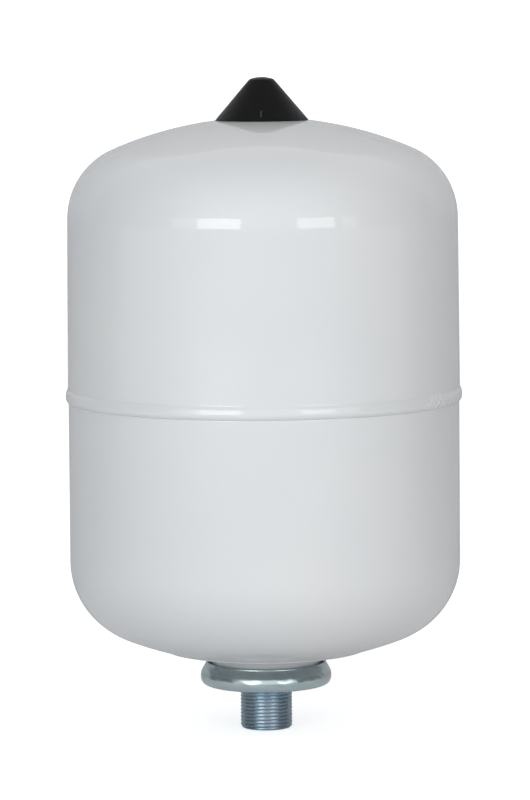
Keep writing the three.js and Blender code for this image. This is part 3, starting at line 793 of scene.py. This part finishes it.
def core_plug():
    """Threaded head of the valve core, with two driver flats at its top."""
    r, low, high = extent("core_plug")
    bore, head_r, pitch = 0.85, r - 0.75, 0.705
    flat, flat_depth = 1.8, 1.6
    lower_path = [(r - 0.5, low), (bore + 0.1, low), (bore, low + 0.1)]
    upper_path = [(head_r, high - 0.75), (head_r, high - 0.1), (head_r - 0.1, high), (bore + 0.1, high),
                  (bore, high - 0.1)]
    mesh = threaded_tube("core_plug_brass", r, r - 0.28, pitch, low + 0.1, high - 0.9, 0.1, 0.3,
                         lower_path, upper_path, per_turn=64, crest=0.16)

    def cut_flats(points):
        proud = (points[:, 2] > high - flat_depth) & (np.abs(points[:, 0]) > flat)
        points[proud, 0] = np.sign(points[proud, 0]) * flat

    reshape(mesh, cut_flats)
    piece = finish_mesh("core_plug_brass", mesh, BRASS, 35)
    return place(piece, "vessel", "core_plug")


def core_barrel():
    r, low, high = extent("core_barrel")
    bore_r, lip_r, lip_top = 1.32, 0.78, low + 2.2
    profile = rounded([(lip_r, low, 0.08), (1.6, low, 0.1), (r, low + 0.7, 0.1), (r, high, 0.1),
                       (bore_r, high, 0.08), (bore_r, lip_top, 0.1), (lip_r, lip_top, 0.08)], 4)
    return place(lathe("core_barrel_brass", profile, BRASS, 64), "vessel", "core_barrel")


def core_gasket():
    r, low, high = extent("core_gasket")
    profile = rounded([(2.02, low, 0.1), (2.32, low, 0.1), (r, high, 0.15), (2.02, high, 0.1)], 4)
    piece = lathe("core_gasket_rubber", profile, SEAL_RUBBER, 64)
    return place(piece, "vessel", "core_gasket")


def core_pin():
    """Pin with a headed foot and a collar for the spring."""
    collar_r, low, high = extent("core_pin")
    r, head_r, head_top = 0.55, 0.8, low + 0.45
    collar_low, collar_high = high - 4.1, high - 3.4
    side = rounded([(head_r, low, 0.2), (head_r, head_top, 0.1), (r, head_top, 0.05), (r, collar_low, 0.05),
                    (collar_r, collar_low, 0.08), (collar_r, collar_high, 0.08), (r, collar_high, 0.05),
                    (r, high, 0.3)], 4)
    profile = [(0.0, low)] + side[1:] + [(0.0, high)]
    return place(lathe("core_pin_steel", profile, SPRING_STEEL, 48), "valve_pin", "core_pin")


def core_spring():
    """Round wire coil with closed ends."""
    wire = 0.2
    _, low, high = extent("core_spring")
    coil, turns, per_turn, sides = 0.98, 7.5, 40, 12
    steps = int(turns * per_turn)
    bm = bmesh.new()
    rings = []
    for k in range(steps + 1):
        t = k / steps
        a = 2 * math.pi * turns * t
        ease = 0.5 - 0.5 * math.cos(math.pi * np.clip((t - 0.10) / 0.80, 0, 1))
        lift = 0.30 * t + 0.70 * (0.35 * ease + 0.65 * np.clip((t - 0.10) / 0.80, 0, 1))
        z = low + wire + (high - low - 2 * wire) * lift
        out = Vector((math.cos(a), math.sin(a), 0))
        ring = []
        for s in range(sides):
            b = 2 * math.pi * s / sides
            p = out * (coil + wire * math.cos(b)) + Vector((0, 0, z + wire * math.sin(b)))
            ring.append(bm.verts.new(p * MM))
        rings.append(ring)
    for one, two in zip(rings[:-1], rings[1:]):
        for s in range(sides):
            bm.faces.new((one[s], two[s], two[(s + 1) % sides], one[(s + 1) % sides]))
    bm.faces.new(rings[0])
    bm.faces.new(reversed(rings[-1]))
    bmesh.ops.recalc_face_normals(bm, faces=bm.faces[:])
    mesh = bpy.data.meshes.new("core_spring_wire")
    bm.to_mesh(mesh)
    bm.free()
    piece = finish_mesh("core_spring_wire", mesh, SPRING_STEEL, 50)
    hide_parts("core_spring")
    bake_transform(piece)
    return piece


def core_cup():
    r, low, high = extent("core_cup")
    bore_r, inner_r, floor = 0.62, 1.55, low + 0.6
    profile = rounded([(bore_r, low, 0.05), (1.5, low, 0.25), (r, low + 0.3, 0.1), (r, high, 0.08),
                       (inner_r, high, 0.08), (inner_r, floor, 0.05), (bore_r, floor, 0.05)], 4)
    return place(lathe("core_cup_brass", profile, BRASS, 64), "valve_pin", "core_cup")


def core_seat_washer():
    r, low, high = extent("core_seat_washer")
    profile = rounded([(0.62, low, 0.05), (1.5, low, 0.05), (1.5, low + 1.45, 0.1), (r, low + 1.65, 0.1),
                       (r, high, 0.2), (0.62, high, 0.1)], 4)
    piece = lathe("core_seat_washer_rubber", profile, SEAL_RUBBER, 64)
    return place(piece, "valve_pin", "core_seat_washer")


def dust_cap():
    """Moulded screw cap with a knurled skirt."""
    r, low, high = extent("dust_cap")
    bore_r, roof = 4.0, high - 1.0
    inside = [(bore_r - 0.2, roof), (bore_r, roof - 0.2), (bore_r, low + 0.45), (bore_r + 0.2, low)]
    side = subdivided([(r - 0.1, low + 0.1), (r, low + 0.4), (r, high - 2.3), (r - 0.2, high - 1.5)], 0.5)
    top = spline([(r - 0.2, high - 1.5), (r - 0.55, high - 0.8), (r - 1.3, high - 0.18),
                  (1.9, high - 0.02)], 5)[1:]
    profile = [(0.0, roof)] + inside + [(r - 0.25, low)] + side + top + [(0.0, high)]

    def knurl(rr, a, z):
        band = np.clip((z - low - 0.5) / 0.3, 0, 1) * np.clip((high - 2.1 - z) / 0.4, 0, 1)
        band = band * (rr > r - 0.3)
        return rr - 0.22 * band * (0.5 - 0.5 * np.cos(24 * a)) ** 2, a, z

    piece = lathe("dust_cap_moulded", profile, PLASTIC, 384, knurl)
    return place(piece, "dust_cap", "dust_cap")


def dust_cap_seal():
    r, low, high = extent("dust_cap_seal")
    profile = rounded([(0.9, low, 0.08), (r, low, 0.12), (r, high, 0.12), (0.9, high, 0.08)], 4)
    piece = lathe("dust_cap_seal_rubber", profile, SEAL_RUBBER, 96)
    return place(piece, "cap_seal", "dust_cap_seal")


# ---------------------------------------------------------------- cone cap

def cone_cap():
    """Hollow moulded cone: soft tip, thin rounded rim, inner sleeve and short ribs above the rim."""
    rim, low, high = extent("cone_cap")
    rim_r = rim + 0.25
    tip_r, tip_z = 6.75, high - 1.75
    slope = (rim_r - tip_r) / (tip_z - low)
    wall, roof, inside_low = 2.36, high - 2.4, 312.9
    sleeve_r, sleeve_low, sleeve_top = 8.4, 315.0, 323.9
    rib_low, rib_high, rib_half = 313.5, 317.2, 0.72

    def outer(z):
        return rim_r - slope * (z - low)

    def inner(z):
        return outer(z) - wall

    shoulder = (outer(tip_z - 1.0), tip_z - 1.0)
    tip = spline([shoulder, (tip_r - 0.05, tip_z + 0.02), (tip_r - 0.95, high - 1.02), (4.1, high - 0.52),
                  (2.1, high - 0.13)], 6) + [(0.0, high)]
    side = subdivided([(rim_r - 0.08, low + 0.12), shoulder], 0.35)
    rim_edge = [(rim_r - 2.0, low + 0.42), (rim_r - 1.9, low + 0.24), (rim_r - 0.35, low + 0.02),
                (rim_r - 0.12, low)]
    sleeve = [(sleeve_r, 326.0), (sleeve_r, sleeve_low + 0.3), (sleeve_r + 0.2, sleeve_low),
              (sleeve_r + 1.1, sleeve_low), (sleeve_r + 1.3, sleeve_low + 0.2),
              (sleeve_r + 1.1, sleeve_top - 0.3)]
    inside = ([(inner(roof), roof)] + sleeve
              + [(inner(sleeve_top), sleeve_top), (inner(inside_low), inside_low)])
    profile = [(0.0, roof)] + inside + rim_edge + side[:-1] + tip

    def from_rib(a):
        """Angle to the nearest of the three ribs' middles."""
        return np.angle(np.exp(3j * (a + math.pi / 2))) / 3

    def ribs(r, a, z):
        on_wall = (np.abs(r - outer(z)) < 0.3) & (z > rib_low - 0.5) & (z < rib_high + 0.5)
        along = np.clip((z - rib_low) / 0.35, 0, 1) * np.clip((rib_high - z) / 0.9, 0, 1)
        across = np.clip((rib_half - np.abs(from_rib(a)) * r) / 0.28 + 0.5, 0, 1)
        return r + 0.62 * on_wall * along * across * across * (3 - 2 * across), a, z

    piece = lathe("cone_cap_moulded", profile, PLASTIC, 768, ribs)
    # painted highlight on one side of each rib, passed to the plastic's colour as a point attribute
    co = np.array([v.co for v in piece.data.vertices]) / MM
    r, a, z = np.hypot(co[:, 0], co[:, 1]), np.arctan2(co[:, 1], co[:, 0]), co[:, 2]
    on_outside = (z < rib_high) * (r > outer(rib_high) - 1.0)
    proud = np.clip((r - outer(z) - 0.15) / 0.25, 0, 1) * on_outside
    one_side = np.clip(0.5 - from_rib(a) * r / 0.3, 0, 1)
    painted_rib_glint = piece.data.attributes.new("painted_rib_glint", "FLOAT", "POINT")
    painted_rib_glint.data.foreach_set("value", (proud * one_side).astype(np.float32))
    return place(piece, "cone_cap", "cone_cap")


for build in (upper_shell, lower_shell, girth_weld, connection_flange, nipple, membrane, valve_boss,
              boss_weld, valve_stem, valve_o_ring, core_plug, core_barrel, core_gasket, core_pin,
              core_spring, core_cup, core_seat_washer, dust_cap, dust_cap_seal, cone_cap):
    build()

# ---------------------------------------------------------------- stage, light and camera

FLOOR_Z = CAD_BOX[0].z - 0.0002


def stage_floor():
    """Pale sweep: flat floor that curves up into a wall behind the vessel."""
    half, front, depth, bend, height = 9.0, -7.0, 5.0, 1.5, 5.0
    curve = [(depth - bend + bend * math.sin(t), bend - bend * math.cos(t))
             for t in np.linspace(0, math.pi / 2, 24)]
    path = [(front, 0.0)] + curve + [(depth, height)]
    verts = [(x, y, FLOOR_Z + z) for y, z in path for x in (-half, half)]
    faces = [(2 * i, 2 * i + 1, 2 * i + 3, 2 * i + 2) for i in range(len(path) - 1)]
    mesh = bpy.data.meshes.new("floor")
    mesh.from_pydata(verts, [], faces)
    mesh.shade_smooth()
    floor = bpy.data.objects.new("floor", mesh)
    bpy.context.scene.collection.objects.link(floor)
    look = Look("pale_floor", Roughness=0.9)
    mottling = look.noise(look.coords, scale=3.0)
    colour = look.ramp(mottling, (0.3, (0.72, 0.73, 0.74)), (0.7, (0.75, 0.755, 0.76)))
    # the camera sees it overexposed near and behind the vessel, and light grey far in front and to the
    # sides; in reflections only the front part glows a little
    rays = look.tree.nodes.new("ShaderNodeLightPath").outputs
    x, y, _ = look.xyz()
    aside = look.math("MULTIPLY", look.math("ABSOLUTE", x), 0.6)
    seen = look.between(look.math("SUBTRACT", y, aside), 0.38, 0.70, -3.0, -0.8)
    mirrored = look.between(y, 0.40, 0.0, -0.3, 0.3)
    glow = look.math("ADD", look.math("MULTIPLY", rays["Is Camera Ray"], seen),
                     look.math("MULTIPLY", rays["Is Glossy Ray"], mirrored))
    look.set(look.shader, Base_Color=colour, Emission_Color=(1, 1, 1, 1), Emission_Strength=glow)
    mesh.materials.append(look.material)


def area_light(name, at, target, width, height, power, colour=(1, 1, 1)):
    """A soft rectangular light at one point, aimed at another, that the camera doesn't see."""
    data = bpy.data.lights.new(name, "AREA")
    data.shape = "RECTANGLE"
    data.size, data.size_y = width, height
    data.energy = power
    data.color = colour
    lamp = bpy.data.objects.new(name, data)
    lamp.location = at
    lamp.rotation_mode = "QUATERNION"
    lamp.rotation_quaternion = (Vector(at) - Vector(target)).to_track_quat("Z", "Y")
    lamp.visible_camera = False
    bpy.context.scene.collection.objects.link(lamp)


def world_light(even, sides, overhead, least, background_seen):
    """Surroundings of the studio: cool light that falls away overhead and to both sides. Reflections never
    see anything dimmer than `least`, and the camera sees the same light grey in every direction."""
    world = bpy.data.worlds.new("studio")
    world.use_nodes = True
    tree = world.node_tree

    def calc(operation, a, b=0.0):
        return math_node(tree, operation, a, b)

    split = tree.nodes.new("ShaderNodeSeparateXYZ")
    tree.links.new(tree.nodes.new("ShaderNodeTexCoord").outputs["Generated"], split.inputs[0])
    x, z = split.outputs["X"], split.outputs["Z"]
    loss_aside = calc("MULTIPLY", calc("POWER", calc("ABSOLUTE", x), 3.0), sides)
    loss_above = calc("MULTIPLY", calc("MULTIPLY", z, z), overhead)
    dimmed = calc("SUBTRACT", calc("SUBTRACT", even, loss_aside), loss_above)
    rays = tree.nodes.new("ShaderNodeLightPath").outputs
    strength = calc("MAXIMUM", dimmed, calc("MULTIPLY", rays["Is Glossy Ray"], least))
    seen = calc("MULTIPLY", rays["Is Camera Ray"], background_seen)
    unseen = calc("MULTIPLY", strength, calc("SUBTRACT", 1.0, rays["Is Camera Ray"]))
    background = tree.nodes["Background"]
    background.inputs["Color"].default_value = (0.975, 0.985, 1.0, 1)
    tree.links.new(calc("ADD", seen, unseen), background.inputs["Strength"])
    bpy.context.scene.world = world


def camera():
    """Long lens from a little above the vessel's middle."""
    distance, elevation, roll = 2.2, math.radians(5.9), math.radians(-0.45)
    target = Vector((0.0005, 0, 0.1688))
    back = Vector((0, -math.cos(elevation), math.sin(elevation)))
    data = bpy.data.cameras.new("camera")
    data.lens = 193.9
    data.clip_start, data.clip_end = 0.05, 60
    eye = bpy.data.objects.new("camera", data)
    turn = back.to_track_quat("Z", "Y").to_matrix().to_4x4() @ Matrix.Rotation(roll, 4, "Z")
    eye.matrix_world = Matrix.Translation(target + back * distance) @ turn
    bpy.context.scene.collection.objects.link(eye)
    bpy.context.scene.camera = eye


stage_floor()
world_light(even=1.40, sides=1.76, overhead=0.93, least=0.26, background_seen=0.84)
MIDDLE = (0, 0, 0.17)
area_light("key", (-1.20, -2.56, 0.52), MIDDLE, 1.25, 0.65, 10.8, (0.90, 0.96, 1.0))
area_light("fill", (1.45, -2.43, 0.52), MIDDLE, 1.1, 0.65, 6.2, (1.0, 0.98, 0.95))
area_light("side_left", (-2.04, -1.96, 0.50), MIDDLE, 0.8, 0.65, 1.5, (0.88, 0.95, 1.0))
area_light("side_right", (2.20, -1.78, 0.50), MIDDLE, 0.5, 0.65, 1.0)
camera()
bpy.context.scene.view_settings.view_transform = "Standard"
